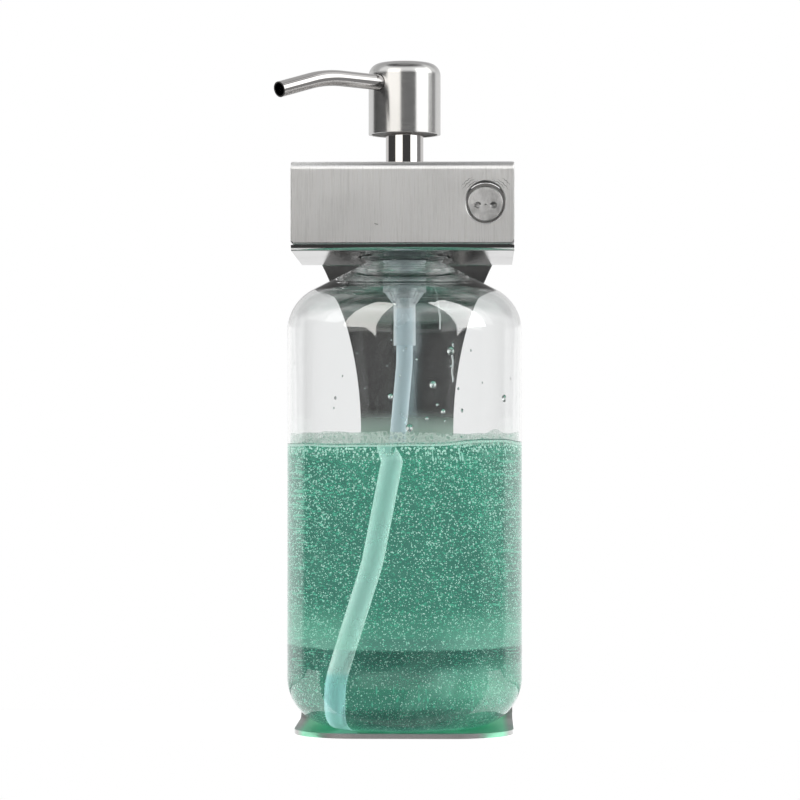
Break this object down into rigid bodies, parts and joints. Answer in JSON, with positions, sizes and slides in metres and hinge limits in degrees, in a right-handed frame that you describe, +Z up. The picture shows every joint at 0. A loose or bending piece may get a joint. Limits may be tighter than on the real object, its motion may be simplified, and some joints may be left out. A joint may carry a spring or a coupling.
{
  "type": "soap pump dispenser",
  "caption": "Lockable steel wall bracket holding a clear bottle of liquid soap, with a spring-return pump head and a long bent spout.",
  "frame": {"origin": "on the bottle's axis at the underside of the tray", "axes": "+Z up along the bottle and pump axis, -Y towards the user, +Y towards the wall, +X to the user's right"},
  "size_m": [0.0776, 0.0794, 0.2149],
  "materials": {
    "bracket_steel": "brushed stainless sheet",
    "hood_steel": "vertically brushed stainless sheet",
    "head_steel": "finely brushed stainless",
    "polished_steel": "polished stainless tube",
    "lock_steel": "turned steel",
    "spring_steel": "drawn stainless wire",
    "clear_bottle": "clear PET",
    "soap": "translucent green gel soap with fine bubbles",
    "natural_plastic": "translucent natural polypropylene",
    "white_plastic": "moulded white plastic",
    "seal_rubber": "soft rubber"
  },
  "bodies": {
    "bracket": {"wall_plate": "bracket_steel", "neck_shelf": "bracket_steel", "shelf_rivets": "lock_steel", "soap_bottle": "clear_bottle", "soap_fill": "soap", "dip_tube": "natural_plastic", "collar_liner": "white_plastic", "collar_shell": "head_steel", "neck_gasket": "seal_rubber", "pump_housing": "natural_plastic", "housing_cap": "white_plastic", "return_spring": "spring_steel"},
    "hood": {"lock_hood": "hood_steel", "lock_body": "lock_steel"},
    "lock": {"lock_plug": "lock_steel", "lock_cam": "lock_steel", "cam_screw": "lock_steel"},
    "plunger": {"piston": "white_plastic", "piston_seal": "seal_rubber", "pump_stem": "natural_plastic"},
    "head": {"stem_sleeve": "polished_steel", "head_shell": "head_steel", "head_base": "head_steel", "head_insert": "white_plastic", "spout": "head_steel"},
    "inlet_valve": {"inlet_ball": "lock_steel"},
    "outlet_valve": {"outlet_ball": "lock_steel"}
  },
  "joints": [
    {"name": "pump_press", "type": "slide", "parent": "bracket", "child": "plunger", "axis": [0, 0, -1], "range_m": [0, 0.009], "stiffness_N_per_m": 700, "springref_m": -0.008, "deforming": ["return_spring"]},
    {"name": "head_swivel", "type": "hinge", "parent": "plunger", "child": "head", "pos_m": [0, 0, 0.1919], "axis": [0, 0, 1], "continuous": true},
    {"name": "hood_slide", "type": "slide", "parent": "bracket", "child": "hood", "axis": [0, -1, 0], "range_m": [0, 0.075]},
    {"name": "lock_turn", "type": "hinge", "parent": "hood", "child": "lock", "pos_m": [0.026, -0.031, 0.1673], "axis": [0, 1, 0], "range_deg": [0, 90]},
    {"name": "inlet_ball_lift", "type": "slide", "parent": "bracket", "child": "inlet_valve", "axis": [0, 0, 1], "range_m": [0, 0.0015]},
    {"name": "outlet_ball_lift", "type": "slide", "parent": "plunger", "child": "outlet_valve", "axis": [0, 0, 1], "range_m": [0, 0.0012]}
  ]
}
